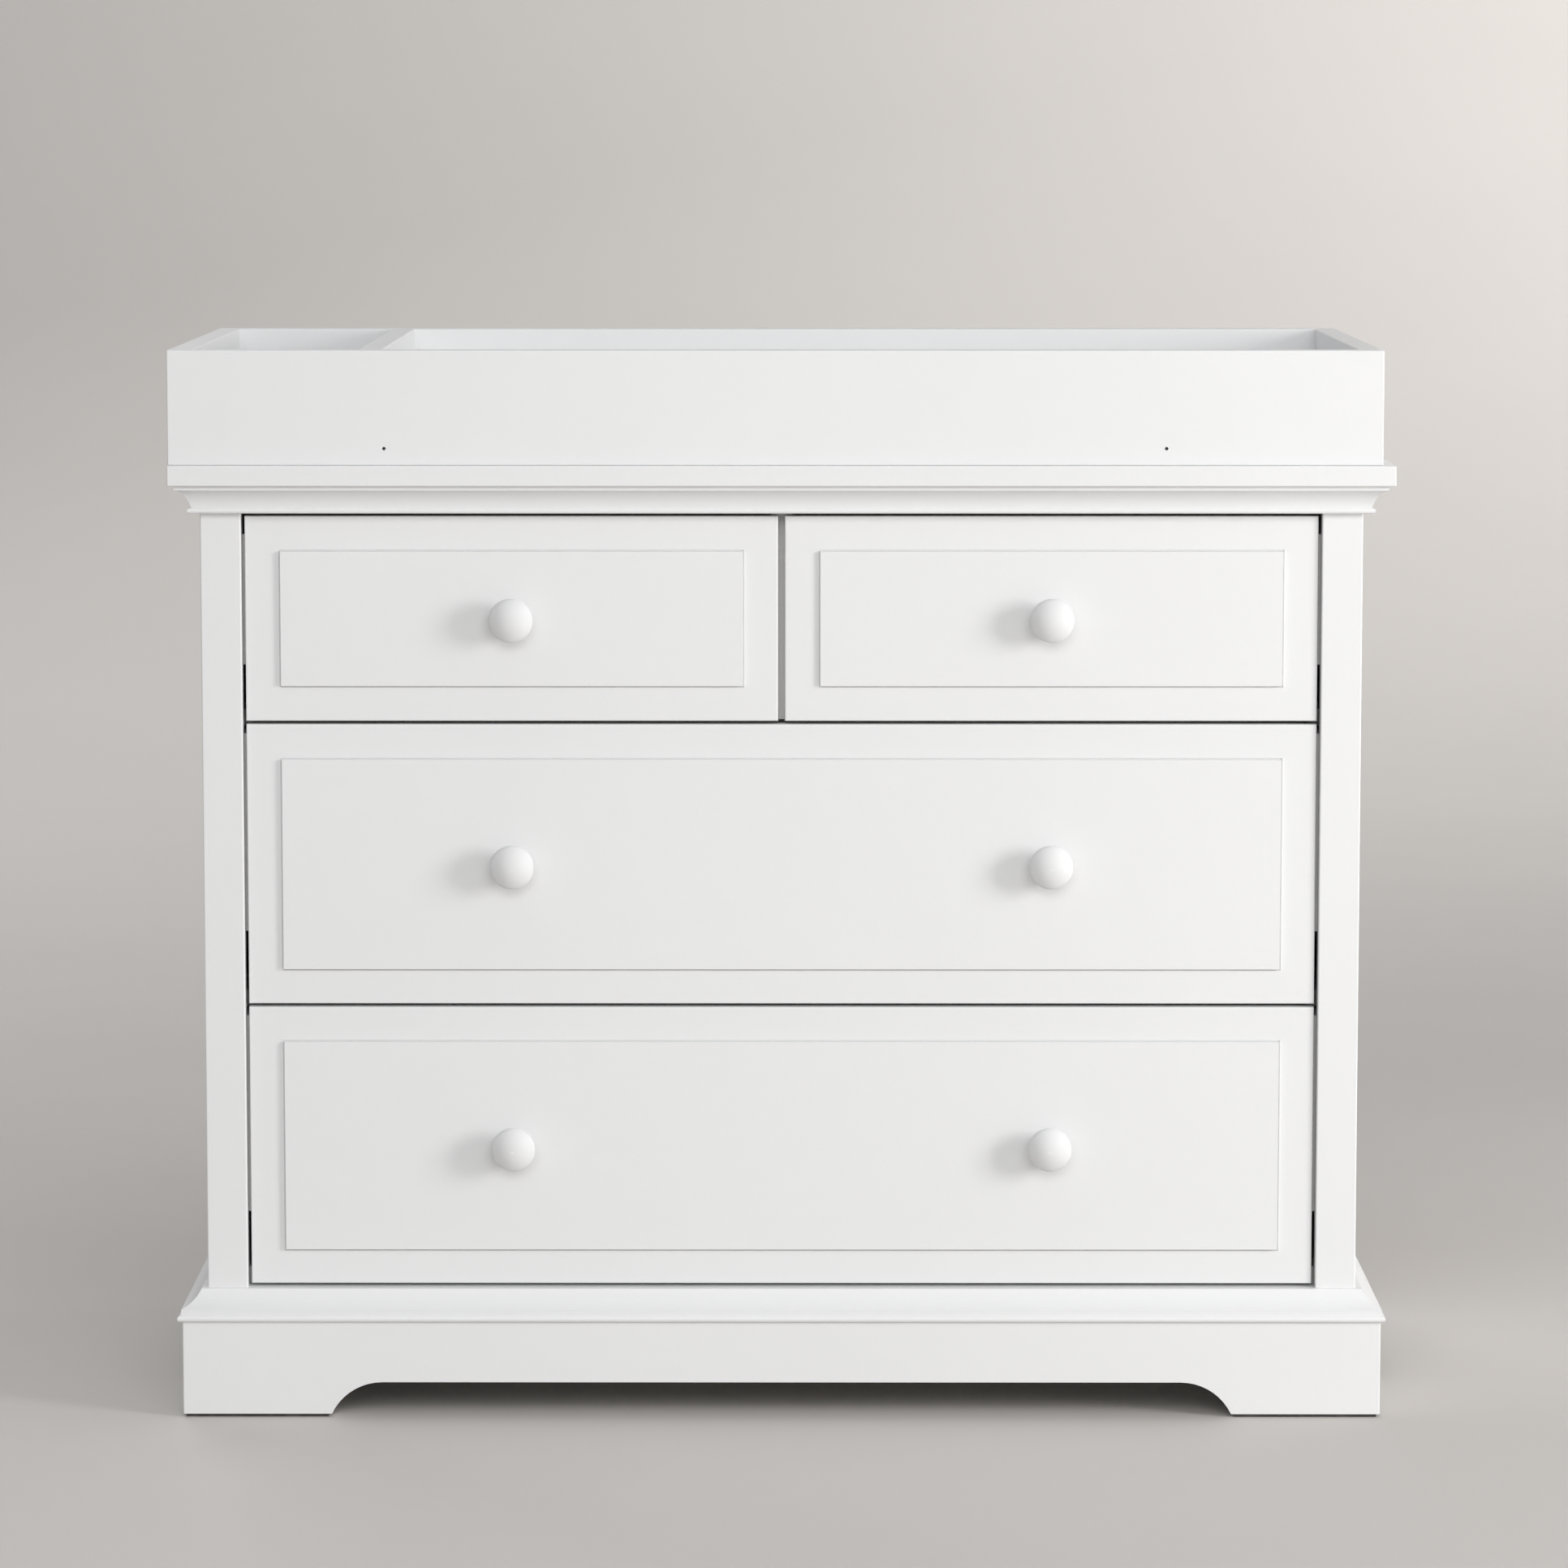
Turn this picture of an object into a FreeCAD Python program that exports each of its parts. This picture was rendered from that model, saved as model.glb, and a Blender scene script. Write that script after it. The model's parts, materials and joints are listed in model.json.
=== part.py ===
"""A dresser with a changing tray: painted board construction, four drawers on telescopic slides.

Frame: millimetres, X to the right seen from the front, Y from front to back, Z up.
The origin is on the floor, at the middle of the outer size in X and Y.
Each sub-part is written to parts/NODE.step; a node with several solids holds identical or paired pieces.
"""

import FreeCAD, Part

import math
import os

from FreeCAD import Vector

# ---------------------------------------------------------------- driving dimensions
WIDTH = 1052.0              # top panel, across
DEPTH = 470.0               # top panel's front edge to the anchor plates' back face
PLATE = 2.0                 # thickness of the anchor plates on the back

GLIDE_H = 3.0               # strips under the feet
PLINTH_H = 81.5             # plinth boards
BASE_MOULD_H = 26.0         # moulding frame on the plinth
GAP = 3.0                   # reveal round every drawer front
WIDE_FRONT_H = 244.0        # middle and bottom drawer fronts
TOP_FRONT_H = 177.5         # the two top drawer fronts
CROWN_H = 24.5              # crown moulding under the top panel
TOP_T = 17.5                # top panel thickness
TRAY_H = 98.5               # changing tray walls

BODY_INSET = 25.5           # top panel's edge to the face of stiles and sides
STILE_W = 35.0
STILE_T = 15.0
SIDE_T = 15.0               # side panels, bottom panel, rails
RAIL_T = 15.0
PLINTH_INSET = 5.0          # top panel's edge to the plinth's face
PLINTH_T = 15.0
BACK_T = 3.0                # hardboard back
PARTITION_T = 18.0
EASE = 1.2                  # rounding on painted board edges

FRONT_SETBACK = 4.0         # stile face to the border of a drawer front
FRONT_T = 15.0              # border thickness of a drawer front
FIELD_RISE = 3.0            # raised field of a drawer front
FIELD_MARGIN = 30.2         # border width, to the foot of the field's steep edge
FIELD_BEVEL = 0.4
FIELD_QUIRK = 1.0           # width and depth of the fine groove round the field

BOX_T = 12.0                # drawer box sides and back
BOX_L = 396.0               # drawer box, front to back
BOX_FLOOR_T = 4.0
BOX_ROUND = 1.5             # rounding on the upper edges of the box
BOX_FLOOR_UP = 10.0         # underside of the drawer floor above the box's lower edge
GROOVE = 5.0                # depth of the groove that holds the drawer floor
TOP_BOX_UP = 11.0           # lower edge of a front to the lower edge of its box
TOP_BOX_H = 148.0
WIDE_BOX_UP = 21.0
WIDE_BOX_H = 213.0

SLIDE_T = 12.7              # telescopic slide: thickness, height, length, sheet
SLIDE_H = 37.0
SLIDE_L = 400.0
SHEET = 1.2
TOP_SLIDE_UP = 68.0         # lower edge of a front to the slide's centre line
WIDE_SLIDE_UP = 95.0
FILLER_PROUD = 2.0          # fillers stand this far past the stiles into the opening
TOP_FILLER_UP = 48.0        # lower edge of a front to the lower edge of its fillers
TOP_FILLER_H = 113.0
WIDE_FILLER_UP = 62.0
WIDE_FILLER_H = 173.0

TRAY_T = 20.0               # tray walls
TRAY_W = 1041.5
TRAY_FRONT_BACK = 8.0       # top panel's front edge to the tray's face
CADDY_W = 143.0             # narrow bay at the left of the tray
TRAY_FLOOR_T = 12.0
TRAY_FLOOR_MID = 14.5       # middle of the tray floor above the top panel
DIVIDER_HOUSING = 4.0       # depth of the groove in the tray floor that the divider stands in
TRAY_SCREW_SPAN = 670.0     # between the two floor screws of one wall
TRAY_SCREW_D = 3.0

KNOB_D = 38.0
KNOB_OUT = 28.0

# ---------------------------------------------------------------- levels and planes
Z_PLINTH = GLIDE_H
Z_BASE = Z_PLINTH + PLINTH_H
Z_BODY = Z_BASE + BASE_MOULD_H
Z_BOTTOM_FRONT = Z_BODY + GAP
Z_MIDDLE_FRONT = Z_BOTTOM_FRONT + WIDE_FRONT_H + GAP
Z_TOP_FRONT = Z_MIDDLE_FRONT + WIDE_FRONT_H + GAP
Z_CROWN = Z_TOP_FRONT + TOP_FRONT_H + GAP
Z_TOP = Z_CROWN + CROWN_H
Z_TRAY = Z_TOP + TOP_T

KNOB_PAST_EDGE = KNOB_OUT + FIELD_RISE - BODY_INSET - FRONT_SETBACK
Y_EDGE = (KNOB_PAST_EDGE - DEPTH) / 2   # front edge of the top panel
Y_REAR = Y_EDGE + DEPTH - PLATE         # back plane of the boards
Y_FACE = Y_EDGE + BODY_INSET            # face of the stiles
Y_STILE = Y_FACE + STILE_T              # back of the stiles
Y_FRONT = Y_FACE + FRONT_SETBACK        # border of the drawer fronts
Y_FRONT_BACK = Y_FRONT + FRONT_T
Y_FRAME = Y_REAR - BACK_T               # front of the hardboard back
Y_TRAY = Y_EDGE + TRAY_FRONT_BACK

X_EDGE = WIDTH / 2
X_BODY = X_EDGE - BODY_INSET
X_IN = X_BODY - SIDE_T                  # inner face of a side panel
X_STILE = X_BODY - STILE_W              # inner edge of a stile
X_FILLER = X_STILE - FILLER_PROUD
X_PLINTH = X_EDGE - PLINTH_INSET
X_FRONT = X_STILE - GAP                 # outer edge of a drawer front

CASE_GAP = 1.0                          # drawer front's back to the case parts behind it


# ---------------------------------------------------------------- helpers
def board(x0, x1, y0, y1, z0, z1):
    """A box between two corners, given in any order."""
    low = Vector(min(x0, x1), min(y0, y1), min(z0, z1))
    return Part.makeBox(abs(x1 - x0), abs(y1 - y0), abs(z1 - z0), low)


def ease(shape, pick, radius=EASE):
    """Rounds the edges whose middle point pick accepts."""
    chosen = []
    for edge in shape.Edges:
        middle = edge.valueAt((edge.FirstParameter + edge.LastParameter) / 2)
        if pick(edge, middle):
            chosen.append(edge)
    return shape.makeFillet(radius, chosen)


def runs_along(edge, axis):
    """True if a straight edge is parallel to X, Y or Z, given as 0, 1 or 2."""
    ends = [v.Point for v in edge.Vertexes]
    if len(ends) != 2:
        return False
    span = ends[1].sub(ends[0])
    return abs(span[axis]) > 0.999 * span.Length


def near(a, b):
    return abs(a - b) < 0.01


def drilled(shape, cutters):
    """The shape without the space that each cutter takes."""
    for cutter in cutters:
        shape = shape.cut(cutter)
    return shape


def mirrored(shape):
    """The same shape on the other side of the plane X = 0."""
    return shape.mirror(Vector(0, 0, 0), Vector(1, 0, 0))


def closed_face(points_and_arcs):
    """A face from a list of corner points, with (middle, end) tuples for three-point arcs."""
    edges = []
    start = points_and_arcs[0]
    here = start
    for item in points_and_arcs[1:]:
        if isinstance(item, tuple):
            middle, end = item
            edges.append(Part.Arc(here, middle, end).toShape())
        else:
            end = item
            edges.append(Part.makeLine(here, end))
        here = end
    if here.sub(start).Length > 1e-6:
        edges.append(Part.makeLine(here, start))
    return Part.Face(Part.Wire(edges))


def plan_prism(corners, z0, z1):
    """A vertical prism over a polygon given as (x, y) corners."""
    points = [Vector(x, y, z0) for x, y in corners]
    face = Part.Face(Part.makePolygon(points + [points[0]]))
    return face.extrude(Vector(0, 0, z1 - z0))


def save(name, *shapes):
    """Writes one node. Every shape given is one solid, or a compound of solids."""
    solids = []
    for shape in shapes:
        solids.extend(shape.Solids)
    for solid in solids:
        assert solid.isValid() and solid.Volume > 0, name
    out = solids[0] if len(solids) == 1 else Part.makeCompound(solids)
    out.exportStep(os.path.join("parts", name + ".step"))


# ---------------------------------------------------------------- mouldings
def crown_profile(out_of):
    """Crown section. out_of(t, z) turns the distance in from the top panel's edge into a point."""
    fillet_t = 5.5
    fillet_bottom = Z_TOP - 3.8
    cove_start_t = 6.1
    cove_middle_t = 14.4                # a point on the cove, above its chord
    cove_middle_z = Z_CROWN + 14.2
    cove_end_t = 18.8
    bead_r = 2.3
    bead_t = 18.0                       # the bead's centre
    bead_top = Z_CROWN + 2 * bead_r
    return closed_face([
        out_of(BODY_INSET, Z_TOP),
        out_of(fillet_t, Z_TOP),
        out_of(fillet_t, fillet_bottom),
        out_of(cove_start_t, fillet_bottom),
        (out_of(cove_middle_t, cove_middle_z), out_of(cove_end_t, bead_top)),
        out_of(bead_t, bead_top),
        (out_of(bead_t - bead_r, Z_CROWN + bead_r), out_of(bead_t, Z_CROWN)),
        out_of(BODY_INSET, Z_CROWN),
    ])


BASE_MOULD_W = 50.0                     # width of the moulding frame's strips
BASE_NOSE = 1.0                         # top panel's edge to the nose of the base bead


def base_profile(out_of):
    """Base moulding section: flat top, cavetto, quirk and bead."""
    bead_r = 2.8
    quirk_t = 4.2
    quirk_z = Z_BODY - 15.3
    flat_t = 20.5
    sag_t = 13.8                        # a point on the cavetto, under its chord
    sag_z = Z_BODY - 9.2
    bead_top = Z_BASE + 2 * bead_r
    bead_t = BASE_NOSE + bead_r
    inner_t = BASE_NOSE + BASE_MOULD_W
    return closed_face([
        out_of(inner_t, Z_BODY),
        out_of(flat_t, Z_BODY),
        (out_of(sag_t, sag_z), out_of(quirk_t, quirk_z)),
        out_of(quirk_t, bead_top),
        out_of(bead_t, bead_top),
        (out_of(BASE_NOSE, Z_BASE + bead_r), out_of(bead_t, Z_BASE)),
        out_of(inner_t, Z_BASE),
    ])


def moulding_set(profile, inner_t, z0, z1):
    """Front, left and right lengths of one moulding, mitred at the front corners."""
    front_bar = profile(lambda t, z: Vector(-X_EDGE, Y_EDGE + t, z)).extrude(Vector(WIDTH, 0, 0))
    mitre_front = plan_prism([
        (-X_EDGE, Y_EDGE),
        (X_EDGE, Y_EDGE),
        (X_EDGE - inner_t, Y_EDGE + inner_t),
        (-X_EDGE + inner_t, Y_EDGE + inner_t),
    ], z0, z1)
    run = Vector(0, Y_REAR - Y_EDGE, 0)
    right_bar = profile(lambda t, z: Vector(X_EDGE - t, Y_EDGE, z)).extrude(run)
    mitre_right = plan_prism([
        (X_EDGE, Y_EDGE),
        (X_EDGE, Y_REAR),
        (X_EDGE - inner_t, Y_REAR),
        (X_EDGE - inner_t, Y_EDGE + inner_t),
    ], z0, z1)
    front = front_bar.common(mitre_front)
    right = right_bar.common(mitre_right)
    return front, mirrored(right), right


# ---------------------------------------------------------------- base
FOOT_W = 129.5                          # bracket foot, along the floor
ARCH_H = 28.0                           # height of the arch between the feet
ARCH_RUN = 44.0                         # length of the curve from foot to arch


def arch_cutter(half, low, along):
    """What is cut from a plinth board between its feet: a flat-topped arch with curved shoulders.

    half is half the board's length, and along(s, z) gives the point at distance s from its middle.
    """
    foot = half - FOOT_W
    top = foot - ARCH_RUN
    bend = 2 * math.atan(ARCH_H / ARCH_RUN)
    radius = ARCH_RUN / math.sin(bend)
    mid_s = top + radius * math.sin(bend / 2)
    mid_z = ARCH_H - radius * (1 - math.cos(bend / 2))
    return closed_face([
        along(-foot, low - 1),
        along(-foot, low),
        (along(-mid_s, low + mid_z), along(-top, low + ARCH_H)),
        along(top, low + ARCH_H),
        (along(mid_s, low + mid_z), along(foot, low)),
        along(foot, low - 1),
    ])


def plinth_boards():
    """Front, left, right and back boards of the plinth."""
    y0 = Y_EDGE + PLINTH_INSET
    y1 = y0 + PLINTH_T
    front = board(-X_PLINTH, X_PLINTH, y0, y1, Z_PLINTH, Z_BASE)
    cut = arch_cutter(X_PLINTH, Z_PLINTH, lambda s, z: Vector(s, y0 - 1, z))
    front = front.cut(cut.extrude(Vector(0, PLINTH_T + 2, 0)))
    front = ease(front, lambda e, m: near(m.y, y0) and near(abs(m.x), X_PLINTH) and runs_along(e, 2))

    length = Y_REAR - y1
    middle = (Y_REAR + y1) / 2
    right = board(X_PLINTH - PLINTH_T, X_PLINTH, y1, Y_REAR, Z_PLINTH, Z_BASE)
    cut = arch_cutter(length / 2, Z_PLINTH, lambda s, z: Vector(X_PLINTH + 1, middle + s, z))
    right = right.cut(cut.extrude(Vector(-PLINTH_T - 2, 0, 0)))

    x1 = X_PLINTH - PLINTH_T
    back = board(-x1, x1, Y_REAR - PLINTH_T, Y_REAR, Z_PLINTH + ARCH_H, Z_BASE)
    # The middle of the back board rises between the moulding strips to carry the case bottom.
    x2 = X_EDGE - BASE_NOSE - BASE_MOULD_W
    back = back.fuse(board(-x2, x2, Y_REAR - PLINTH_T, Y_REAR, Z_BASE, Z_BODY)).removeSplitter()
    return front, mirrored(right), right, back


def foot_glides():
    """Strips that the feet stand on: under the front board's feet and under the back feet of the sides."""
    width = 10.0
    end_gap = 3.0
    rim_round = 0.6
    length = FOOT_W - 2 * end_gap
    x1 = X_PLINTH - end_gap
    y_front = Y_EDGE + PLINTH_INSET + PLINTH_T / 2
    front = board(x1 - length, x1, y_front - width / 2, y_front + width / 2, 0, GLIDE_H)
    x_side = X_PLINTH - PLINTH_T / 2
    y1 = Y_REAR - end_gap
    back = board(x_side - width / 2, x_side + width / 2, y1 - length, y1, 0, GLIDE_H)
    glides = []
    for strip in (front, back):
        strip = ease(strip, lambda e, m: near(m.z, 0), rim_round)
        glides += [strip, mirrored(strip)]
    return glides


# ---------------------------------------------------------------- case
ANCHOR_X = 300.0                        # anchor plates, from the middle of the dresser
ANCHOR_W = 22.0
ANCHOR_SCREWS_UP = (16.0, 34.0)         # screw heights above the top panel's upper face
ANCHOR_SCREWS_DOWN = (34.0, 52.0)       # and below it
ANTI_TIP_SPAN = 400.0                   # pilot holes for a wall strap
ANTI_TIP_D = 3.5
BACK_RAIL_H = 60.0
Z_ANTI_TIP = Z_TOP - 38.0


def screw(head, tip, shank_r, head_r, head_h):
    """A countersunk wood screw from the middle of its head's face to its tip."""
    along = tip.sub(head)
    cone = Part.makeCone(head_r, shank_r, head_h, head, along)
    shank = Part.makeCylinder(shank_r, along.Length, head, along)
    return cone.fuse(shank).removeSplitter()


def pilot_holes():
    """The two blind holes for a wall strap, through the back into the top back rail."""
    r = ANTI_TIP_D / 2
    depth = BACK_T + RAIL_T - 2
    holes = []
    for side in (-1, 1):
        mouth = Vector(side * ANTI_TIP_SPAN / 2, Y_REAR + 1, Z_ANTI_TIP)
        holes.append(Part.makeCylinder(r, depth + 1, mouth, Vector(0, -1, 0)))
    return holes


def anchor_plates():
    """Two flat plates that tie the tray's back wall to the case, and their screws."""
    below = 62.0                        # plate ends, from the top panel's upper face
    above = 44.0
    corner_r = 4.0
    screw_depth = 14.0
    shank_r = 1.9
    head_r = 3.9
    head_h = 2.0
    plates = []
    screws = []
    for side in (-1, 1):
        x = side * ANCHOR_X
        half = ANCHOR_W / 2
        plate = board(x - half, x + half, Y_REAR, Y_REAR + PLATE, Z_TRAY - below, Z_TRAY + above)
        plate = ease(plate, lambda e, m: runs_along(e, 1), corner_r)
        heights = [Z_TRAY + up for up in ANCHOR_SCREWS_UP]
        heights += [Z_TRAY - down for down in ANCHOR_SCREWS_DOWN]
        for z in heights:
            head = Vector(x, Y_REAR + PLATE, z)
            one = screw(head, Vector(x, Y_REAR - screw_depth, z), shank_r, head_r, head_h)
            plate = plate.cut(one)
            screws.append(one)
        plates.append(plate)
    return plates, screws


def back_nails():
    """Flat-headed nails through the back panel into the sides, the bottom and the back rails."""
    columns = 9                         # nails in one row, with the two in the side panels
    below_top = 8.0                     # the highest row, below the top panel
    head_r = 2.8
    head_top_r = 2.2
    head_h = 0.8
    shank_r = 0.8
    length = 16.0
    x_side = X_BODY - SIDE_T / 2
    rows = [Z_BODY + SIDE_T / 2, Z_MIDDLE_FRONT - GAP / 2, Z_TOP_FRONT - GAP / 2, Z_TOP - below_top]
    spots = []
    for z in rows:
        spots += [(x_side * (2 * i / (columns - 1) - 1), z) for i in range(columns)]
    for low, high in zip(rows, rows[1:]):
        z = (low + high) / 2
        spots += [(-x_side, z), (x_side, z)]
    nails = []
    for x, z in spots:
        seat = Vector(x, Y_REAR, z)
        head = Part.makeCone(head_r, head_top_r, head_h, seat, Vector(0, 1, 0))
        shank = Part.makeCylinder(shank_r, length, seat, Vector(0, -1, 0))
        nails.append(head.fuse(shank).removeSplitter())
    return nails


def case_parts(anchor_screws, slide_screws, nails):
    """Every board of the case, by node name, with the holes that its fixings need."""
    parts = {}
    top = board(-X_EDGE, X_EDGE, Y_EDGE, Y_REAR, Z_TOP, Z_TRAY)
    parts["top_panel"] = ease(top, lambda e, m: m.y < Y_REAR - 1)

    side = drilled(board(X_IN, X_BODY, Y_STILE, Y_FRAME, Z_BODY, Z_TOP), nails)
    parts["side_panel_right"] = side
    parts["side_panel_left"] = mirrored(side)

    stile = board(X_STILE, X_BODY, Y_FACE, Y_STILE, Z_BODY, Z_TOP)
    stile = ease(stile, lambda e, m: near(m.y, Y_FACE) and runs_along(e, 2))
    parts["front_stile_right"] = stile
    parts["front_stile_left"] = mirrored(stile)

    rail_w = 70.0
    rail_gap = 28.0                     # drawer front's back to a rail's front edge
    back_inset = 1.0                    # case side to the back panel's edge
    y0 = Y_FRONT_BACK + rail_gap
    top_rail = board(-X_IN, X_IN, Y_FRAME - RAIL_T, Y_FRAME, Z_TOP - BACK_RAIL_H, Z_TOP)
    # The first front rail stands behind the crown moulding, the others lie between the drawer rows.
    rails = [board(-X_STILE, X_STILE, Y_FACE, Y_STILE, Z_CROWN, Z_TOP)]
    rear_rails = [drilled(top_rail, pilot_holes() + anchor_screws + nails)]
    for front_z in (Z_MIDDLE_FRONT, Z_TOP_FRONT):
        z0 = front_z - GAP / 2 - RAIL_T / 2
        rails.append(board(-X_IN, X_IN, y0, y0 + rail_w, z0, z0 + RAIL_T))
        rear_rail = board(-X_IN, X_IN, Y_FRAME - RAIL_T, Y_FRAME, z0, z0 + RAIL_T)
        rear_rails.append(drilled(rear_rail, nails))
    parts["front_rails"] = Part.makeCompound(rails)
    parts["back_rails"] = Part.makeCompound(rear_rails)

    z_partition = Z_TOP_FRONT - GAP / 2 + RAIL_T / 2
    y_partition = Y_FRAME - RAIL_T
    half = PARTITION_T / 2
    # Its front edge reaches down past the rail, to the lower edge of the top drawer fronts.
    partition = board(-half, half, Y_FRONT_BACK + CASE_GAP, y_partition, Z_TOP_FRONT, Z_TOP)
    rail_seat = board(-half, half, y0, y_partition, Z_TOP_FRONT, z_partition)
    parts["centre_partition"] = drilled(partition, [rail_seat] + slide_screws)

    x_back = X_BODY - back_inset
    back = board(-x_back, x_back, Y_FRAME, Y_REAR, Z_BODY, Z_TOP)
    parts["back_panel"] = drilled(back, pilot_holes() + anchor_screws + nails)

    bottom = board(-X_IN, X_IN, Y_FRONT_BACK + CASE_GAP, Y_FRAME, Z_BODY, Z_BODY + SIDE_T)
    parts["bottom_panel"] = drilled(bottom, nails)
    return parts


# ---------------------------------------------------------------- tray
X_TRAY_LEFT = -X_EDGE
X_TRAY_RIGHT = X_TRAY_LEFT + TRAY_W


def tray_floor_screws():
    """Four screws through the long tray walls into the edges of the tray floor, set below the surface."""
    z = Z_TRAY + TRAY_FLOOR_MID
    middle = (X_TRAY_LEFT + X_TRAY_RIGHT) / 2
    sunk = 9.0
    grip = 24.0
    screws = []
    holes = []
    for side in (-1, 1):
        x = middle + side * TRAY_SCREW_SPAN / 2
        for face, inward in ((Y_TRAY, 1), (Y_REAR, -1)):
            r = TRAY_SCREW_D / 2
            start = Vector(x, face + inward * sunk, z)
            length = TRAY_T - sunk + grip
            screws.append(Part.makeCylinder(r, length, start, Vector(0, inward, 0)))
            mouth = Vector(x, face - inward, z)
            holes.append(Part.makeCylinder(r, sunk + 1 + length, mouth, Vector(0, inward, 0)))
    return screws, holes


def tray_parts(anchor_screws):
    """The tray's walls, divider and floor, and the screws that hold the floor."""
    screws, holes = tray_floor_screws()
    z1 = Z_TRAY + TRAY_H
    x_mid = (X_TRAY_LEFT + X_TRAY_RIGHT) / 2
    y_in = Y_TRAY + TRAY_T
    y_out = Y_REAR - TRAY_T

    def top_edges(edge, middle):
        return near(middle.z, z1)

    def outer_edges(edge, middle):
        corner = near(middle.x, X_TRAY_LEFT) or near(middle.x, X_TRAY_RIGHT)
        outside = near(middle.y, Y_TRAY) or near(middle.y, Y_REAR)
        foot = near(middle.z, Z_TRAY) and (outside or near(abs(middle.x - x_mid), TRAY_W / 2))
        return near(middle.z, z1) or foot or (corner and outside and runs_along(edge, 2))

    front = board(X_TRAY_LEFT, X_TRAY_RIGHT, Y_TRAY, y_in, Z_TRAY, z1)
    back = board(X_TRAY_LEFT, X_TRAY_RIGHT, y_out, Y_REAR, Z_TRAY, z1)
    front = drilled(ease(front, outer_edges), holes)
    back = drilled(ease(back, outer_edges), holes + anchor_screws)
    left = board(X_TRAY_LEFT, X_TRAY_LEFT + TRAY_T, y_in, y_out, Z_TRAY, z1)
    right = board(X_TRAY_RIGHT - TRAY_T, X_TRAY_RIGHT, y_in, y_out, Z_TRAY, z1)

    z_floor = Z_TRAY + TRAY_FLOOR_MID - TRAY_FLOOR_T / 2
    floor = board(
        X_TRAY_LEFT + TRAY_T, X_TRAY_RIGHT - TRAY_T, y_in, y_out, z_floor, z_floor + TRAY_FLOOR_T
    )
    x_div = X_TRAY_LEFT + TRAY_T + CADDY_W
    z_div = z_floor + TRAY_FLOOR_T - DIVIDER_HOUSING
    divider = board(x_div, x_div + TRAY_T, y_in, y_out, z_div, z1)
    floor = drilled(floor, holes + [divider])

    def long_top(edge, middle):
        return top_edges(edge, middle) and runs_along(edge, 1)

    return {
        "tray_front": front,
        "tray_back": back,
        "tray_left_wall": ease(left, long_top),
        "tray_right_wall": ease(right, long_top),
        "tray_divider": ease(divider, long_top),
        "tray_floor": floor,
        "tray_floor_screws": Part.makeCompound(screws),
    }


# ---------------------------------------------------------------- slides
def channel(u0, u1, half_h, web_u, wall, y0, y1, to_point):
    """A C-shaped sheet profile between u0 and u1 across, with its web at web_u, run from y0 to y1."""
    pieces = [
        (web_u, web_u + SHEET, -half_h, half_h),
        (u0, u1, half_h - SHEET, half_h),
        (u0, u1, -half_h, -half_h + SHEET),
    ]
    solid = None
    for a, b, low, high in pieces:
        one = board(to_point(a), to_point(b), y0, y1, wall + low, wall + high)
        solid = one if solid is None else solid.fuse(one)
    return solid.removeSplitter()


SLIDE_SCREW_STEPS = (35.0, 163.0, 291.0)    # from the slide's front end


def slide(mount_x, inward, z):
    """One telescopic slide on a wall at mount_x: its outer, middle and inner members.

    inward is +1 or -1, the X direction from the wall to the drawer box.
    """
    hole_r = 2.3
    outer_lip = 9.5                     # how far each member reaches, measured from the wall
    middle_web = 4.2
    middle_lip = 11.2
    inner_lip = 6.9
    ball_space = 4.8                    # from one member's height to the next one's, at each edge
    middle_set_back = 2.0
    middle_short = 4.0
    inner_short = 6.0

    def across(u):
        return mount_x + inward * u

    y0 = Y_FRONT_BACK + CASE_GAP
    y1 = y0 + SLIDE_L
    half = SLIDE_H / 2
    outer = channel(0, outer_lip, half, 0, z, y0, y1, across)
    middle = channel(
        middle_web, middle_lip, half - ball_space, middle_web, z,
        y0 + middle_set_back, y1 - middle_short, across
    )
    inner = channel(
        inner_lip, SLIDE_T, half - 2 * ball_space, SLIDE_T - SHEET, z, y0, y1 - inner_short, across
    )
    drills = []
    for step in SLIDE_SCREW_STEPS:
        at = Vector(across(-1), y0 + step, z)
        drills.append(Part.makeCylinder(hole_r, SLIDE_T + 2, at, Vector(inward, 0, 0)))
    return [drilled(member, drills) for member in (outer, middle, inner)]


def pan_screws(seat_x, outward, z):
    """The screws of one slide member: heads on the sheet at seat_x, shanks going the way of outward."""
    head_r = 3.3
    head_h = 1.5
    head_round = 0.7
    shank_r = 1.7
    shank_l = 9.0
    slot_l = 3.6
    slot_w = 0.9
    slot_d = 0.8
    screws = []
    for step in SLIDE_SCREW_STEPS:
        y = Y_FRONT_BACK + CASE_GAP + step
        seat = Vector(seat_x, y, z)
        top_x = seat_x - outward * head_h
        head = Part.makeCylinder(head_r, head_h, seat, Vector(-outward, 0, 0))
        head = ease(head, lambda e, m: near(m.x, top_x), head_round)
        one = head.fuse(Part.makeCylinder(shank_r, shank_l, seat, Vector(outward, 0, 0)))
        one = one.removeSplitter()
        for long_y, long_z in ((slot_l, slot_w), (slot_w, slot_l)):
            recess = board(
                top_x - outward, top_x + outward * slot_d,
                y - long_y / 2, y + long_y / 2, z - long_z / 2, z + long_z / 2
            )
            one = one.cut(recess)
        screws.append(one)
    return screws


def slide_walls():
    """For each slide: the X of its wall, the way from there to the box, and its centre height."""
    z_top = Z_TOP_FRONT + TOP_SLIDE_UP
    half = PARTITION_T / 2
    walls = [(-X_FILLER, 1, z_top), (-half, -1, z_top), (half, 1, z_top), (X_FILLER, -1, z_top)]
    for front_z in (Z_MIDDLE_FRONT, Z_BOTTOM_FRONT):
        z = front_z + WIDE_SLIDE_UP
        walls += [(-X_FILLER, 1, z), (X_FILLER, -1, z)]
    return walls


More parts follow.
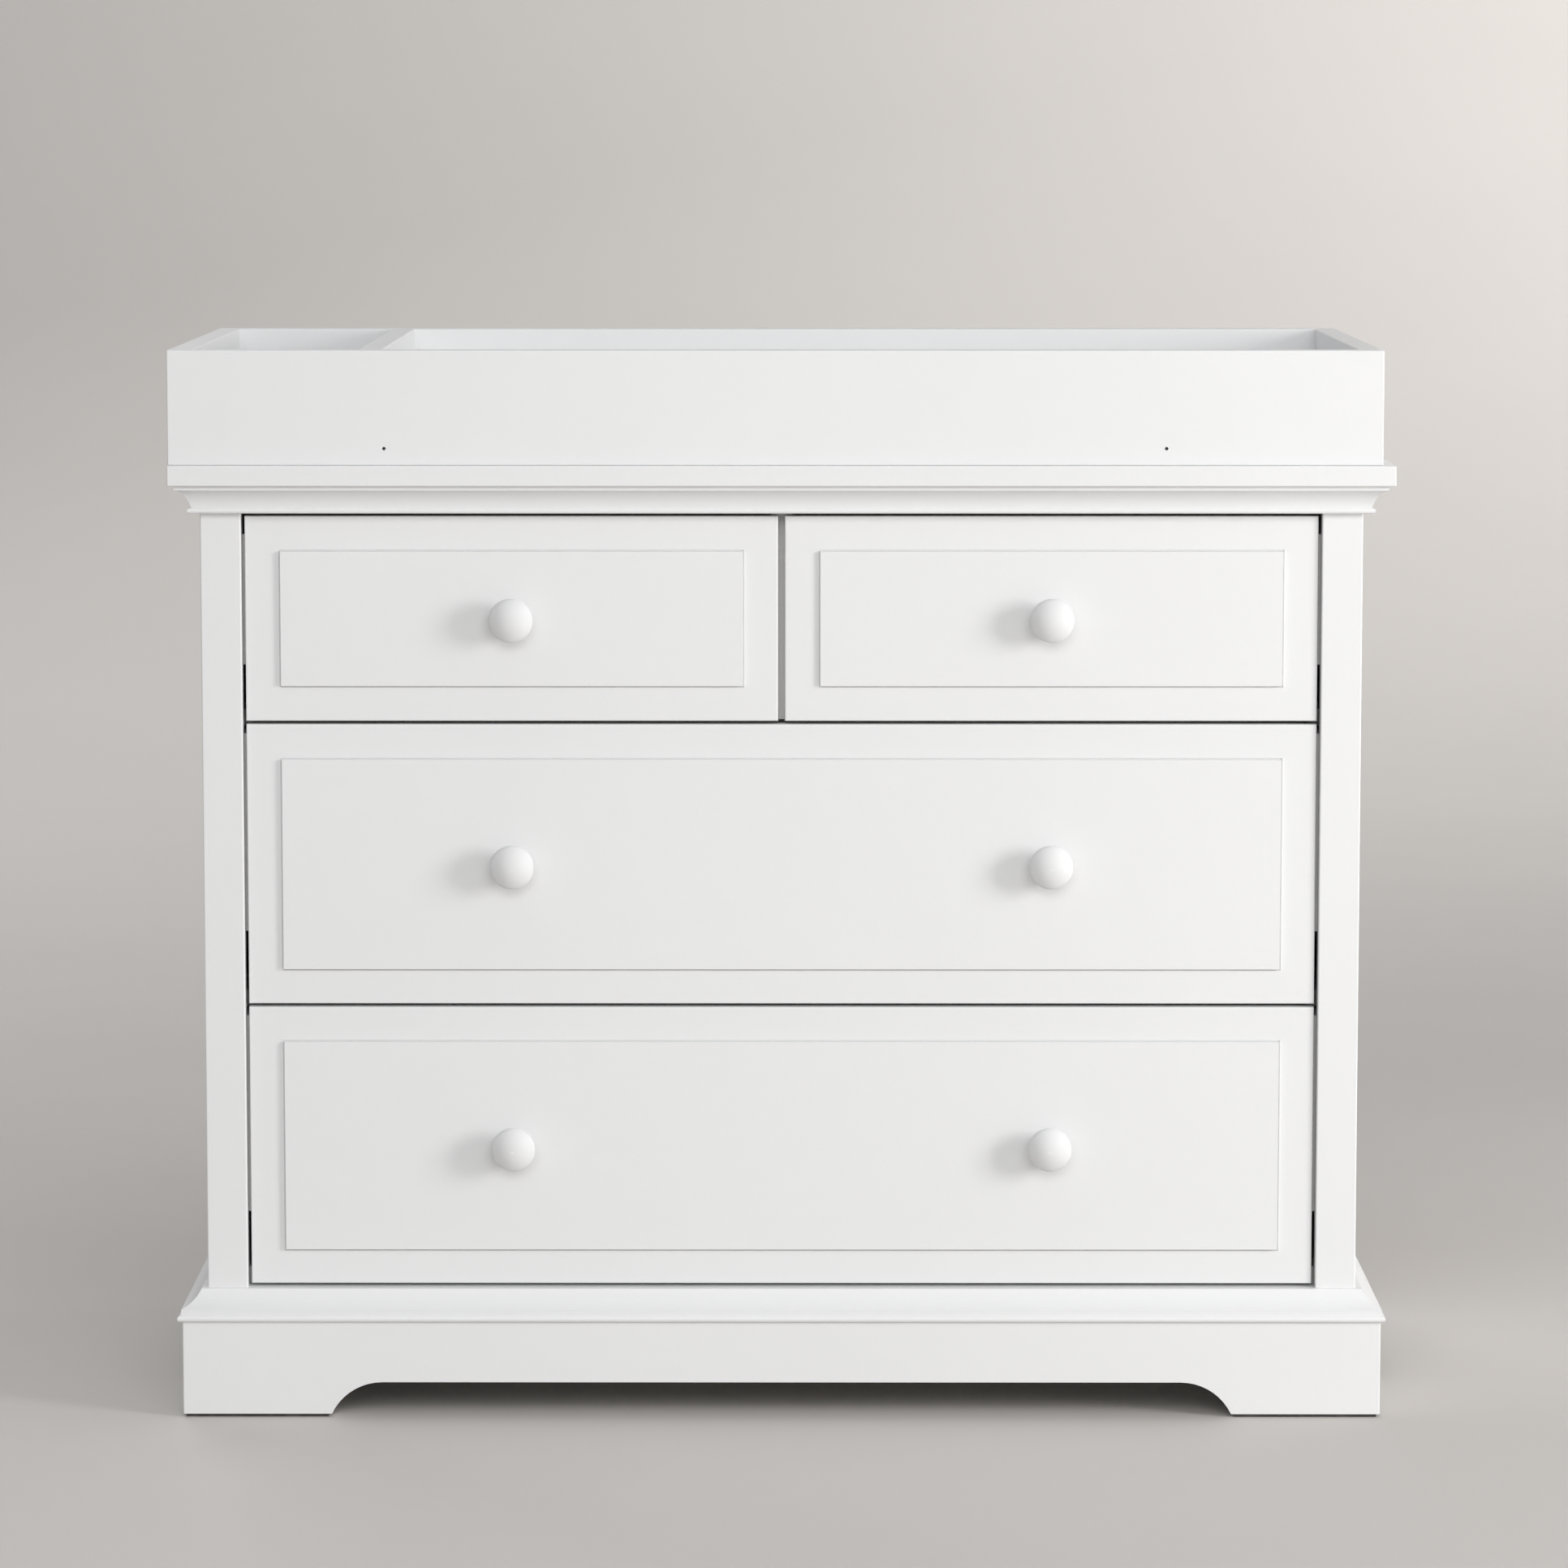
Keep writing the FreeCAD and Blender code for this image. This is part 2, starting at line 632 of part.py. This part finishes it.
def case_slide_screws():
    """The screws that hold the outer members to the fillers and the partition."""
    screws = []
    for wall_x, inward, z in slide_walls():
        screws += pan_screws(wall_x + inward * SHEET, -inward, z)
    return screws


# ---------------------------------------------------------------- drawers
def knob(x, z):
    """A round mushroom knob turned about Y, standing on the raised field, and its machine screw."""
    y_base = Y_FRONT - FIELD_RISE
    r = KNOB_D / 2
    cap_r = 26.0                        # radius of the domed face
    cap_edge = 0.9 * r                  # where the dome meets the rounded rim
    under_r = 0.7 * r                   # where the head's underside meets the neck
    under_out = 0.33 * KNOB_OUT
    neck_r = 8.4
    neck_out = 4.6
    foot_r = 11.0

    def at(radius, out):
        return Vector(x + radius, y_base - out, z)

    def on_cap(radius):
        return at(radius, KNOB_OUT - cap_r + math.sqrt(cap_r ** 2 - radius ** 2))

    # The rim is an arc that leaves the dome smoothly and is widest at radius r.
    tilt = math.asin(cap_edge / cap_r)
    rim_r = (r - cap_edge) / (1 - math.sin(tilt))
    rim_t = r - rim_r
    rim_out = KNOB_OUT - cap_r + (cap_r - rim_r) * math.cos(tilt)
    half_turn = (math.pi / 2 + tilt) / 2
    on_rim = at(rim_t + rim_r * math.sin(half_turn), rim_out + rim_r * math.cos(half_turn))
    # The underside is an arc that leaves the widest place just as smoothly and runs in to the neck.
    run_in = r - under_r
    drop = rim_out - under_out
    belly_r = (run_in ** 2 + drop ** 2) / (2 * run_in)
    half_sweep = math.asin(drop / belly_r) / 2
    on_under = at(r - belly_r * (1 - math.cos(half_sweep)), rim_out - belly_r * math.sin(half_sweep))
    profile = Part.Wire([
        Part.Arc(at(0, KNOB_OUT), on_cap(cap_edge / 2), on_cap(cap_edge)).toShape(),
        Part.Arc(on_cap(cap_edge), on_rim, at(r, rim_out)).toShape(),
        Part.Arc(at(r, rim_out), on_under, at(under_r, under_out)).toShape(),
        Part.Arc(at(under_r, under_out), at(neck_r + 0.8, 7.4), at(neck_r, neck_out)).toShape(),
        Part.Arc(at(neck_r, neck_out), at(neck_r + 0.7, 1.9), at(foot_r, 0)).toShape(),
        Part.makeLine(at(foot_r, 0), at(0, 0)),
        Part.makeLine(at(0, 0), at(0, KNOB_OUT)),
    ])
    body = Part.Face(profile).revolve(Vector(x, y_base, z), Vector(0, 1, 0), 360)
    body = Part.Solid(body) if body.ShapeType != "Solid" else body

    head_y = Y_FRONT_BACK
    shank_r = 2.0
    thread_in_knob = 12.0
    head_r = 4.2
    head_h = 2.4
    head_round = 0.8
    slot_l = 5.0
    slot_w = 1.0
    slot_floor = head_y + 1.2
    shank_l = head_y - y_base + thread_in_knob
    shank = Part.makeCylinder(shank_r, shank_l, Vector(x, head_y, z), Vector(0, -1, 0))
    head = Part.makeCylinder(head_r, head_h, Vector(x, head_y, z), Vector(0, 1, 0))
    head = ease(head, lambda e, m: near(m.y, head_y + head_h), head_round)
    bolt = head.fuse(shank).removeSplitter()
    for long_x, long_z in ((slot_l, slot_w), (slot_w, slot_l)):
        recess = board(
            x - long_x / 2, x + long_x / 2, slot_floor, head_y + head_h + 1, z - long_z / 2, z + long_z / 2
        )
        bolt = bolt.cut(recess)
    return body.cut(bolt), bolt


def drawer_front(x0, x1, z0, height):
    """A front with a raised field and a fine groove round it, its front edges eased."""
    z1 = z0 + height
    slab = board(x0, x1, Y_FRONT, Y_FRONT_BACK, z0, z1)
    slab = ease(slab, lambda e, m: near(m.y, Y_FRONT))
    m0 = FIELD_MARGIN
    m1 = FIELD_MARGIN + FIELD_BEVEL
    sunk = 2.0                          # the field's root goes below the groove

    def ring(margin, y):
        points = [
            Vector(x0 + margin, y, z0 + margin),
            Vector(x1 - margin, y, z0 + margin),
            Vector(x1 - margin, y, z1 - margin),
            Vector(x0 + margin, y, z1 - margin),
        ]
        return Part.makePolygon(points + [points[0]])

    field = Part.makeLoft([ring(m0, Y_FRONT), ring(m1, Y_FRONT - FIELD_RISE)], True, True)
    root = board(x0 + m0, x1 - m0, Y_FRONT, Y_FRONT + sunk, z0 + m0, z1 - m0)
    mq = m0 - FIELD_QUIRK
    groove = board(x0 + mq, x1 - mq, Y_FRONT - 1, Y_FRONT + FIELD_QUIRK, z0 + mq, z1 - mq)
    return slab.cut(groove).fuse([root, field]).removeSplitter()


def drawer(name, x0, x1, z0, height, box_up, box_h, slide_up, walls, knob_xs):
    """One drawer: its front, knobs, box and the two slides that carry it.

    walls are the X of the two faces that the slides are fixed to, left then right.
    """
    front = drawer_front(x0, x1, z0, height)
    z_knob = z0 + height / 2
    knobs = []
    for x in knob_xs:
        body, bolt = knob(x, z_knob)
        front = front.cut(bolt)
        knobs += [body, bolt]

    left = walls[0] + SLIDE_T
    right = walls[1] - SLIDE_T
    low = z0 + box_up
    high = low + box_h
    y0 = Y_FRONT_BACK
    y1 = y0 + BOX_L
    z_floor = low + BOX_FLOOR_UP
    floor = board(
        left + BOX_T - GROOVE, right - BOX_T + GROOVE,
        y0 - GROOVE, y1, z_floor, z_floor + BOX_FLOOR_T
    )

    z_slide = z0 + slide_up
    outer_l, middle_l, inner_l = slide(walls[0], 1, z_slide)
    outer_r, middle_r, inner_r = slide(walls[1], -1, z_slide)
    screws_l = pan_screws(left - SHEET, 1, z_slide)
    screws_r = pan_screws(right + SHEET, -1, z_slide)

    def box_side(xa, xb, screws):
        side = board(xa, xb, y0, y1, low, high)
        side = ease(side, lambda e, m: near(m.z, high) and runs_along(e, 1), BOX_ROUND)
        return drilled(side, [floor] + screws)

    sides = [box_side(left, left + BOX_T, screws_l), box_side(right - BOX_T, right, screws_r)]
    back = board(left + BOX_T, right - BOX_T, y1 - BOX_T, y1, z_floor + BOX_FLOOR_T, high)
    back = ease(back, lambda e, m: near(m.z, high) and runs_along(e, 0), BOX_ROUND)
    front = front.cut(floor)

    knob_word = "_knob" if len(knob_xs) == 1 else "_knobs"
    save(name + "_front", front)
    save(name + knob_word, *knobs)
    save(name + "_sides", *sides)
    save(name + "_back", back)
    save(name + "_floor", floor)
    save(name + "_slide_inner_members", inner_l, inner_r, *screws_l, *screws_r)
    save(name + "_slide_middle_members", middle_l, middle_r)
    return [outer_l, outer_r]


def slide_fillers(slide_screws):
    """Boards behind the stiles that bring the slides out to the drawer opening, one per drawer and side."""
    fillers = []
    rows = (
        (Z_BOTTOM_FRONT + WIDE_FILLER_UP, WIDE_FILLER_H),
        (Z_MIDDLE_FRONT + WIDE_FILLER_UP, WIDE_FILLER_H),
        (Z_TOP_FRONT + TOP_FILLER_UP, TOP_FILLER_H),
    )
    for low, height in rows:
        one = board(X_FILLER, X_IN, Y_STILE, Y_STILE + SLIDE_L, low, low + height)
        fillers += [drilled(filler, slide_screws) for filler in (one, mirrored(one))]
    return fillers


# ---------------------------------------------------------------- assembly
def main():
    os.makedirs("parts", exist_ok=True)

    plates, plate_screws = anchor_plates()
    member_screws = case_slide_screws()
    nails = back_nails()
    save("tray_anchor_plates", *(plates + plate_screws))
    save("back_panel_nails", *nails)
    for name, shape in case_parts(plate_screws, member_screws, nails).items():
        save(name, shape)
    for name, shape in tray_parts(plate_screws).items():
        save(name, shape)

    sides = ("front", "left", "right")
    for side, shape in zip(sides, moulding_set(crown_profile, BODY_INSET, Z_CROWN, Z_TOP)):
        save("crown_moulding_" + side, shape)
    base_inner = BASE_NOSE + BASE_MOULD_W
    for side, shape in zip(sides, moulding_set(base_profile, base_inner, Z_BASE, Z_BODY)):
        save("base_moulding_" + side, shape)
    for side, shape in zip(sides + ("back",), plinth_boards()):
        save("plinth_" + side, shape)
    save("foot_glides", *foot_glides())
    save("slide_fillers", *slide_fillers(member_screws))

    half_gap = GAP
    wall = PARTITION_T / 2
    knob_x = (X_FRONT + half_gap) / 2
    outers = []
    top = (Z_TOP_FRONT, TOP_FRONT_H, TOP_BOX_UP, TOP_BOX_H, TOP_SLIDE_UP)
    outers += drawer("top_left_drawer", -X_FRONT, -half_gap, *top, (-X_FILLER, -wall), [-knob_x])
    outers += drawer("top_right_drawer", half_gap, X_FRONT, *top, (wall, X_FILLER), [knob_x])
    for name, z in (("middle_drawer", Z_MIDDLE_FRONT), ("bottom_drawer", Z_BOTTOM_FRONT)):
        wide = (z, WIDE_FRONT_H, WIDE_BOX_UP, WIDE_BOX_H, WIDE_SLIDE_UP)
        walls = (-X_FILLER, X_FILLER)
        outers += drawer(name, -X_FRONT, X_FRONT, *wide, walls, [-knob_x, knob_x])
    save("slide_outer_members", *outers, *member_screws)


main()
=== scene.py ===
"""Looks of the dresser with its changing tray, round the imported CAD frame. Metres, Z up, front towards -Y."""
import json
import math

import bpy
from mathutils import Euler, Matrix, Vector


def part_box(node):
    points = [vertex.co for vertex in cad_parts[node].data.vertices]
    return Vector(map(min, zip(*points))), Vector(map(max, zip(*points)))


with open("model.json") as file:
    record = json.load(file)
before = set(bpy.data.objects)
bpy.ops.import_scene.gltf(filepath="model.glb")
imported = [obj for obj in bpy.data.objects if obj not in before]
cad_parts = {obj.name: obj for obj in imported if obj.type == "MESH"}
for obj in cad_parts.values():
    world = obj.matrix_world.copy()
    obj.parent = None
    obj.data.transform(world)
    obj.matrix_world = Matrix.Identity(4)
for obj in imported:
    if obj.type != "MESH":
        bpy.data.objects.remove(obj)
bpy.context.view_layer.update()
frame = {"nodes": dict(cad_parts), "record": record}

NODES = frame["nodes"]
MM = 0.001
X_AXIS = 0
Y_AXIS = 1
SUBPART_SLOT = {s["node"]: s["material_slot"] for s in frame["record"]["subparts"]}


# ---------------------------------------------------------------- node helpers
# The Mix node's colour sockets share their names with its other sockets, so they go by place.
MIX_FIRST = 6
MIX_SECOND = 7
MIX_RESULT = 2


class Shader:
    """A material's node tree with short names for the nodes that these materials use."""

    def __init__(self, name):
        self.material = bpy.data.materials.new(name)
        self.material.use_nodes = True
        self.tree = self.material.node_tree
        self.surface = self.tree.nodes["Principled BSDF"]
        self.place = self.node("ShaderNodeTexCoord").outputs["Object"]

    def node(self, kind, **values):
        made = self.tree.nodes.new(kind)
        for key, value in values.items():
            setattr(made, key, value)
        return made

    def link(self, start, end):
        self.tree.links.new(start, end)

    def stretched(self, x, y, z):
        """Object coordinates multiplied by a scale along each axis."""
        mapping = self.node("ShaderNodeMapping")
        mapping.inputs["Scale"].default_value = (x, y, z)
        self.link(self.place, mapping.inputs["Vector"])
        return mapping.outputs["Vector"]

    def noise(self, scale, detail=4.0, roughness=0.5, where=None):
        made = self.node("ShaderNodeTexNoise")
        made.inputs["Scale"].default_value = scale
        made.inputs["Detail"].default_value = detail
        made.inputs["Roughness"].default_value = roughness
        self.link(where or self.place, made.inputs["Vector"])
        return made.outputs["Fac"]

    def spread(self, value, low, high, from_low=0.3, from_high=0.7):
        """A value stretched from one range to another, and kept inside it."""
        made = self.node("ShaderNodeMapRange")
        made.inputs["From Min"].default_value = from_low
        made.inputs["From Max"].default_value = from_high
        made.inputs["To Min"].default_value = low
        made.inputs["To Max"].default_value = high
        self.link(value, made.inputs["Value"])
        return made.outputs["Result"]

    def mix(self, factor, first, second):
        """A blend of two colours; either may be a colour or another node's output."""
        made = self.node("ShaderNodeMix", data_type="RGBA")
        self.link(factor, made.inputs["Factor"])
        for socket, colour in ((made.inputs[MIX_FIRST], first), (made.inputs[MIX_SECOND], second)):
            if isinstance(colour, tuple):
                socket.default_value = (*colour, 1.0)
            else:
                self.link(colour, socket)
        return made.outputs[MIX_RESULT]

    def bump(self, height, distance, strength=1.0, below=None):
        made = self.node("ShaderNodeBump")
        made.inputs["Distance"].default_value = distance
        made.inputs["Strength"].default_value = strength
        self.link(height, made.inputs["Height"])
        if below is not None:
            self.link(below, made.inputs["Normal"])
        return made.outputs["Normal"]

    def wear(self, colour, normal, roughness):
        """Joins the finished colour, normal and roughness to the surface."""
        self.link(colour, self.surface.inputs["Base Color"])
        self.link(normal, self.surface.inputs["Normal"])
        self.link(roughness, self.surface.inputs["Roughness"])
        return self.material


# ---------------------------------------------------------------- materials
def white_paint(name, tone, roughness):
    """Sprayed satin paint: fine orange peel, faint pooling of tone, dust nibs and a drifting roughness."""
    s = Shader(name)
    pooled = 0.965                      # tone where the paint pools, against its own
    dark = tuple(c * pooled for c in tone)
    drift = s.noise(3.0, 3.0)
    speckle = s.noise(420.0, 2.0)
    colour = s.mix(s.spread(drift, 0.0, 0.6), tone, dark)
    colour = s.mix(s.spread(speckle, 0.0, 0.25), colour, dark)
    peel = s.noise(260.0, 2.0, 0.4)
    stipple = s.noise(1400.0, 3.0, 0.6)
    normal = s.bump(peel, 0.05 * MM, 0.55)
    normal = s.bump(stipple, 0.02 * MM, 0.5, normal)
    nibs = s.spread(s.noise(700.0, 1.0), 0.0, 1.0, 0.74, 0.80)
    normal = s.bump(nibs, 0.04 * MM, 0.5, normal)
    rough = s.spread(s.noise(30.0, 4.0), roughness - 0.04, roughness + 0.05)
    s.surface.inputs["Specular IOR Level"].default_value = 0.45
    return s.wear(colour, normal, rough)


def laminate(name, tone, grain_axis):
    """White foil on board, printed with a faint grain along one axis."""
    s = Shader(name)
    across = 90.0
    along = 4.0
    scales = [across, across, across]
    scales[grain_axis] = along
    grain = s.noise(1.0, 5.0, 0.6, s.stretched(*scales))
    printed = 0.92                      # tone of the printed grain against the plain foil
    colour = s.mix(s.spread(grain, 0.0, 1.0), tone, tuple(c * printed for c in tone))
    fleck = s.noise(600.0, 2.0)
    normal = s.bump(grain, 0.04 * MM, 0.5)
    normal = s.bump(fleck, 0.015 * MM, 0.4, normal)
    rough = s.spread(grain, 0.46, 0.56)
    return s.wear(colour, normal, rough)


def hardboard():
    """Pressed fibre board: brown on its raw face, white foil where it faces inwards or upwards."""
    s = Shader("hardboard")
    fibre = s.noise(1.0, 6.0, 0.65, s.stretched(260.0, 260.0, 520.0))
    patch = s.noise(14.0, 4.0)
    brown = s.mix(s.spread(fibre, 0.0, 1.0), (0.30, 0.19, 0.10), (0.44, 0.30, 0.18))
    brown = s.mix(s.spread(patch, 0.0, 0.35), brown, (0.25, 0.16, 0.09))
    white = s.mix(s.spread(fibre, 0.0, 1.0), (0.80, 0.79, 0.76), (0.74, 0.73, 0.70))
    face = s.node("ShaderNodeNewGeometry").outputs["Normal"]
    axes = s.node("ShaderNodeSeparateXYZ")
    s.link(face, axes.inputs["Vector"])
    foil = s.node("ShaderNodeMath", operation="SUBTRACT")
    s.link(axes.outputs["Z"], foil.inputs[0])
    s.link(axes.outputs["Y"], foil.inputs[1])
    colour = s.mix(s.spread(foil.outputs["Value"], 0.0, 1.0, 0.45, 0.55), brown, white)
    normal = s.bump(fibre, 0.12 * MM, 0.6)
    return s.wear(colour, normal, s.spread(fibre, 0.55, 0.75))


def zinc_steel():
    """Rolled, zinc-plated sheet: drawing lines along the slide and a cloudy plating."""
    s = Shader("zinc_steel")
    lines = s.noise(1.0, 3.0, 0.6, s.stretched(2400.0, 30.0, 2400.0))
    cloud = s.noise(70.0, 4.0)
    colour = s.mix(s.spread(cloud, 0.0, 1.0), (0.60, 0.62, 0.65), (0.46, 0.48, 0.52))
    colour = s.mix(s.spread(lines, 0.0, 0.3), colour, (0.38, 0.39, 0.42))
    normal = s.bump(lines, 0.01 * MM, 0.6)
    s.surface.inputs["Metallic"].default_value = 1.0
    return s.wear(colour, normal, s.spread(cloud, 0.28, 0.42))


def nylon():
    """Dark moulded glide with a fine spark-eroded texture and scuffs."""
    s = Shader("nylon")
    texture = s.noise(1500.0, 2.0)
    scuff = s.noise(1.0, 5.0, 0.6, s.stretched(60.0, 600.0, 60.0))
    colour = s.mix(s.spread(scuff, 0.0, 1.0, 0.5, 0.75), (0.045, 0.042, 0.040), (0.12, 0.11, 0.105))
    return s.wear(colour, s.bump(texture, 0.03 * MM, 0.6), s.spread(scuff, 0.45, 0.65))


def raw_core_with_painted_shade():
    """Brown fibre core of a painted board, seen only inside drilled holes, kept far darker than raw board so it
    also paints the shade deep in the holes.
    """
    s = Shader("raw_core_with_painted_shade")
    fibre = s.noise(900.0, 5.0, 0.65)
    # Browns far darker than raw fibre board: the raw core's colour plus painted shade for the inside of the
    # holes.
    colour = s.mix(s.spread(fibre, 0.0, 1.0), (0.055, 0.040, 0.027), (0.11, 0.08, 0.055))
    return s.wear(colour, s.bump(fibre, 0.15 * MM, 0.8), s.spread(fibre, 0.8, 0.95))


PAINT_TONE = (0.827, 0.832, 0.834)
KNOB_TONE = (0.775, 0.780, 0.782)
FOIL_TONE = (0.80, 0.80, 0.785)
MATERIALS = {
    "white_paint": white_paint("white_paint", PAINT_TONE, 0.42),
    "knob_paint": white_paint("knob_paint", KNOB_TONE, 0.60),
    "inner_board": laminate("inner_board", FOIL_TONE, X_AXIS),
    "drawer_board": laminate("drawer_board", FOIL_TONE, Y_AXIS),
    "hardboard": hardboard(),
    "zinc_steel": zinc_steel(),
    "nylon": nylon(),
}
CORE_AND_PAINTED_SHADE = raw_core_with_painted_shade()


# ---------------------------------------------------------------- CAD nodes
SHARP_BOARDS = ("inner_board", "drawer_board")
ARRIS = 0.5 * MM


def soften_edges(node):
    """A small arris on boards whose edges the frame leaves square."""
    same_point = 0.01 * MM
    sharp_turn = math.radians(50)
    weld = node.modifiers.new("weld", "WELD")
    weld.merge_threshold = same_point
    bevel = node.modifiers.new("arris", "BEVEL")
    bevel.width = ARRIS
    bevel.segments = 2
    bevel.limit_method = "ANGLE"
    bevel.angle_limit = sharp_turn
    bevel.harden_normals = True


def bare_holes_with_painted_shade(node):
    """Shows the raw core, darkened into painted shade, on the faces that lie inside a board: the walls of its
    drilled holes.
    """
    rounding = 1.3 * MM
    low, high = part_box(node.name)
    core_and_shade_slot = len(node.data.materials)
    node.data.materials.append(CORE_AND_PAINTED_SHADE)
    for face in node.data.polygons:
        middle = face.center
        inside = [low[i] + rounding < middle[i] < high[i] - rounding for i in range(3)]
        if all(inside):
            face.material_index = core_and_shade_slot


def dress_nodes():
    """Gives every CAD node the material that the record names for it."""
    for name, node in NODES.items():
        slot = SUBPART_SLOT[name]
        node.data.materials.clear()
        node.data.materials.append(MATERIALS[slot])
        if slot in SHARP_BOARDS:
            soften_edges(node)
    for name in ("tray_front", "tray_back"):
        bare_holes_with_painted_shade(NODES[name])


# ---------------------------------------------------------------- stage
def floor():
    """A pale floor that runs up into a far backdrop in one sweep."""
    half = 30.0
    front = -14.0
    bend_y = 3.5
    bend_r = 8.5
    steps = 48
    wall_top = 20.0
    line = [(front, 0.0), (bend_y, 0.0)]
    for i in range(1, steps + 1):
        turn = math.pi / 2 * i / steps
        line.append((bend_y + bend_r * math.sin(turn), bend_r * (1 - math.cos(turn))))
    line.append((bend_y + bend_r, wall_top))
    verts = [(x, y, z) for y, z in line for x in (-half, half)]
    faces = [(2 * i, 2 * i + 1, 2 * i + 3, 2 * i + 2) for i in range(len(line) - 1)]
    mesh = bpy.data.meshes.new("floor")
    mesh.from_pydata(verts, [], faces)
    mesh.polygons.foreach_set("use_smooth", [True] * len(faces))
    sweep = bpy.data.objects.new("floor", mesh)
    bpy.context.scene.collection.objects.link(sweep)
    s = Shader("floor")
    pale = (0.60, 0.575, 0.55)
    duller = (0.585, 0.56, 0.535)
    tone = s.noise(1.5, 4.0)
    colour = s.mix(s.spread(tone, 0.0, 1.0), pale, duller)
    s.wear(colour, s.bump(s.noise(60.0, 3.0), 0.05 * MM, 0.15), s.spread(tone, 0.55, 0.65))
    mesh.materials.append(s.material)


def area_light(name, place, aim, width, height, watts, colour):
    """A rectangular soft box at a place, turned towards what it lights."""
    data = bpy.data.lights.new(name, "AREA")
    data.shape = "RECTANGLE"
    data.size = width
    data.size_y = height
    data.energy = watts
    data.color = colour
    lamp = bpy.data.objects.new(name, data)
    lamp.location = place
    lamp.rotation_euler = (Vector(aim) - Vector(place)).to_track_quat("-Z", "Y").to_euler()
    bpy.context.scene.collection.objects.link(lamp)


def studio_world():
    """Soft surroundings: brighter to the right, above and in front, dimmer to the left and behind."""
    brightest_way = (0.68, -0.45, 0.58)
    dimmest = 0.10
    brightest = 0.62
    world = bpy.data.worlds.new("studio")
    world.use_nodes = True
    tree = world.node_tree
    sky = tree.nodes["Background"]
    way = tree.nodes.new("ShaderNodeTexCoord").outputs["Generated"]
    lean = tree.nodes.new("ShaderNodeVectorMath")
    lean.operation = "DOT_PRODUCT"
    lean.inputs[1].default_value = Vector(brightest_way).normalized()
    tree.links.new(way, lean.inputs[0])
    amount = tree.nodes.new("ShaderNodeMapRange")
    amount.inputs["From Min"].default_value = -1.0
    amount.inputs["From Max"].default_value = 1.0
    amount.inputs["To Min"].default_value = dimmest
    amount.inputs["To Max"].default_value = brightest
    tree.links.new(lean.outputs["Value"], amount.inputs["Value"])
    tree.links.new(amount.outputs["Result"], sky.inputs["Strength"])
    sky.inputs["Color"].default_value = (0.97, 0.98, 1.0, 1.0)
    bpy.context.scene.world = world


def lights():
    """A near soft box at the right, a wide one in front, a dim one behind and one on the backdrop."""
    middle = (0.0, 0.0, 0.5)
    area_light("key", (3.3, -1.90, 1.25), middle, 1.0, 1.45, 80.0, (1.0, 0.99, 0.98))
    area_light("front", (0.3, -6.0, 3.2), middle, 5.0, 2.6, 119.0, (1.0, 0.99, 0.985))
    area_light("back", (-2.5, 4.5, 3.5), middle, 3.0, 2.0, 60.0, (0.98, 0.985, 1.0))
    area_light("backdrop", (5.0, 5.0, 6.0), (5.0, 13.0, 1.5), 5.0, 3.0, 520.0, (1.0, 0.99, 0.97))
    studio_world()
    bpy.context.scene.view_settings.view_transform = "Standard"


# ---------------------------------------------------------------- camera
CAMERA_BACK = 4.860                     # from the top panel's front edge
CAMERA_X = 0.0128
CAMERA_Z = 1.1493                       # above the floor
CAMERA_LENS = 130.7                     # in mm, on the sensor below
CAMERA_SENSOR = 36.0
CAMERA_PITCH = math.radians(6.01)       # looking down
CAMERA_YAW = math.radians(0.124)        # turned to the left
CAMERA_SHIFT_Y = -0.06
CAMERA_FAR = 100.0


def camera():
    """Stands in front, a little above the tray, and looks slightly down."""
    data = bpy.data.cameras.new("camera")
    data.sensor_width = CAMERA_SENSOR
    data.lens = CAMERA_LENS
    data.shift_y = CAMERA_SHIFT_Y
    data.clip_end = CAMERA_FAR
    eye = bpy.data.objects.new("camera", data)
    low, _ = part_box("top_panel")
    eye.location = (CAMERA_X, low.y - CAMERA_BACK, CAMERA_Z)
    eye.rotation_euler = Euler((math.pi / 2 - CAMERA_PITCH, 0.0, CAMERA_YAW))
    bpy.context.scene.collection.objects.link(eye)
    bpy.context.scene.camera = eye


camera()
dress_nodes()
floor()
lights()
